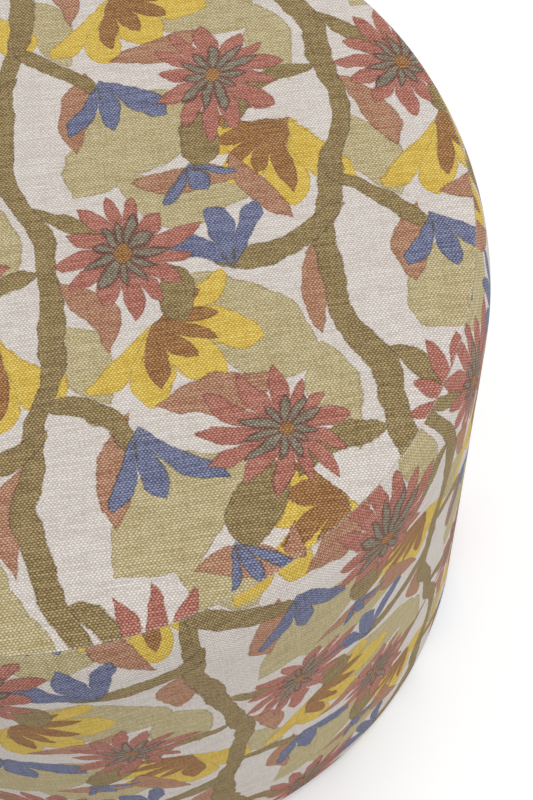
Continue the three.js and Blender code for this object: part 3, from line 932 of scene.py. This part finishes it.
dust_low, dust_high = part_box("dust_cover")
dust_thickness = 0.0006
dust_fold = 0.012
dust_outline = [
    Vector((0, dust_low.z)),
    Vector((dust_high.x - dust_thickness, dust_low.z)),
    Vector((dust_high.x, dust_low.z + dust_thickness)),
    Vector((dust_high.x - dust_thickness, dust_high.z)),
    Vector((dust_high.x - dust_fold, dust_high.z)),
    Vector((dust_high.x - dust_fold, dust_low.z + dust_thickness)),
    Vector((0, dust_low.z + dust_thickness)),
]
dust_cloth = turned("dust_cloth", dust_outline, padding_steps)
dust_cloth.data.materials.append(matted_cloth())
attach(dust_cloth, "root")
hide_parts("dust_cover")


# Staples: thirty-six steel crowns, 10 mm wide, that hold the dust cloth's turned edge to the base
# board all round. Flat galvanised wire, bent over at both ends where the legs go in.
staple_count = 36
staple_inset = 0.005
staple_circle = dust_high.x - staple_inset
staple_width = 0.01
staple_wire = (0.0012, 0.0006)
staple_bend = 0.0002
staple_sink = 0.0001
staple_shape = bmesh.new()
for index in range(staple_count):
    size = Matrix.Diagonal((staple_wire[0], staple_width, staple_wire[1], 1))
    spot = Matrix.Translation((staple_circle, 0, dust_low.z - staple_wire[1] / 2 + staple_sink))
    turn = Matrix.Rotation(2 * math.pi * (index + 0.5) / staple_count, 4, "Z")
    made = bmesh.ops.create_cube(staple_shape, size=1, matrix=turn @ spot @ size)
    ends = {edge for corner in made["verts"] for edge in corner.link_edges}
    bmesh.ops.bevel(
        staple_shape, geom=list(ends), affect="EDGES", offset=staple_bend, segments=1, profile=0.5,
        material=-1,
    )
staples = shown("dust_staples", staple_shape)
staples.data.materials.append(zinc)
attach(staples, "root")


# Glides: six low feet of moulded black plastic, each on a nail driven up through the dust cloth.
# Smooth, half matt, with a softly rounded rim.
def moulded_plastic():
    # moulded polyethylene: a low waxy gloss, scuffed dull in patches of about 3.8 mm
    scuff_width = 0.0038
    material, tree, surface = finish_material("moulded_polyethylene", 0.42)
    place = add(tree, "TexCoord").outputs["Object"]
    scuffs = add(tree, "TexNoise", {"Vector": place, "Scale": 1 / scuff_width, "Detail": 4.0})
    rough = add(tree, "MapRange", {"Value": scuffs, "To Min": 0.32, "To Max": 0.6})
    tree.links.new(rough.outputs[0], surface.inputs["Roughness"])
    colour = add(tree, "Mix", {0: scuffs, 6: srgb("232324"), 7: srgb("2E2E30")}, data_type="RGBA")
    tree.links.new(colour.outputs[2], surface.inputs["Base Color"])
    return material


plastic = moulded_plastic()
glide_radius = 0.013
glide_rim = 0.0012
glide_height = 0.004
glide_sides = 64
nail_radii = (0.0014, 0.0003)
nail_sides = 16
for index in post_numbers:
    low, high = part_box(f"glide_{index}")
    middle = (low + high) / 2
    shape = bmesh.new()
    bmesh.ops.create_cone(
        shape, cap_ends=True, segments=glide_sides, radius1=glide_radius, radius2=glide_radius,
        depth=glide_height,
        matrix=Matrix.Translation((middle.x, middle.y, glide_height / 2)),
    )
    rims = [e for e in shape.edges if abs(e.verts[0].co.z - e.verts[1].co.z) < weld_distance]
    bmesh.ops.bevel(
        shape, geom=rims, affect="EDGES", offset=glide_rim, segments=4, profile=0.5, material=-1
    )
    bmesh.ops.create_cone(
        shape, cap_ends=True, segments=nail_sides, radius1=nail_radii[0], radius2=nail_radii[1],
        depth=high.z - glide_height,
        matrix=Matrix.Translation((middle.x, middle.y, (high.z + glide_height) / 2)),
    )
    foot = shown(f"foot_glide_{index}", shape)
    foot.data.materials.append(plastic)
    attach(foot, "root")
    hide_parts(f"glide_{index}")


# Studio: a white floor that keeps the object's soft shadow and runs into the backdrop further off,
# pale light from above, and a low fill from the right, which lifts the front of the band.
floor_half_width = 6
clean_white_from_to = (0.9, 2.4)
glow_near = 0.272
glow_far = 1.0
daylight = 0.52

floor_shape = bmesh.new()
bmesh.ops.create_grid(floor_shape, x_segments=1, y_segments=1, size=floor_half_width)
floor = shown("floor", floor_shape)


def backdrop_share(tree):
    """One where the camera sees a surface straight, in a gloss or through glass, else nought."""
    path = add(tree, "LightPath").outputs
    seen = add(tree, "Math", [path["Is Camera Ray"], path["Is Glossy Ray"]], operation="MAXIMUM")
    return add(tree, "Math", [seen, path["Is Transmission Ray"]], operation="MAXIMUM")


paper = bpy.data.materials.new("white_paper")
paper.use_nodes = True
tree = paper.node_tree
tree.nodes.clear()
shaded = add(tree, "BsdfDiffuse", {"Color": srgb("F9F9F9")})
spot = add(tree, "TexCoord").outputs["Object"]
away = add(tree, "VectorMath", [spot], operation="LENGTH").outputs["Value"]
further = {"Value": away, "From Min": clean_white_from_to[0], "From Max": clean_white_from_to[1]}
lift = add(tree, "MapRange", {**further, "To Min": glow_near, "To Max": glow_far})
glow = add(tree, "Emission", {"Color": srgb("F8FBFF"), "Strength": lift})
bright = add(tree, "AddShader", [shaded, glow])
plain = add(tree, "BsdfDiffuse", {"Color": srgb("D8D8D8")})
add(tree, "OutputMaterial", [add(tree, "MixShader", [backdrop_share(tree), plain, bright])])
floor.data.materials.append(paper)

world = bpy.data.worlds.new("studio")
world.use_nodes = True
tree = world.node_tree
tree.nodes.clear()
around = add(tree, "Background", {"Color": (1, 1, 1, 1), "Strength": daylight})
white = add(tree, "Background", {"Color": (1, 1, 1, 1), "Strength": 1.0})
add(tree, "OutputWorld", [add(tree, "MixShader", [backdrop_share(tree), around, white])])
bpy.context.scene.world = world


def lamp(name, place, aim, size, power):
    """A square soft light that shines from a place towards an aim and isn't seen itself."""
    light = bpy.data.lights.new(name, "AREA")
    light.energy = power
    light.size = size
    holder = bpy.data.objects.new(name, light)
    holder.location = place
    holder.rotation_mode = "QUATERNION"
    holder.rotation_quaternion = (Vector(aim) - Vector(place)).to_track_quat("-Z", "Y")
    holder.visible_camera = False
    bpy.context.scene.collection.objects.link(holder)


lamp("overhead", place=(0.9, 0.44, 4.9), aim=(0, 0, 0.3), size=1.8, power=71)
lamp("fill", place=(3.0, -3.6, 1.55), aim=(0, 0, 0.25), size=2.8, power=46)
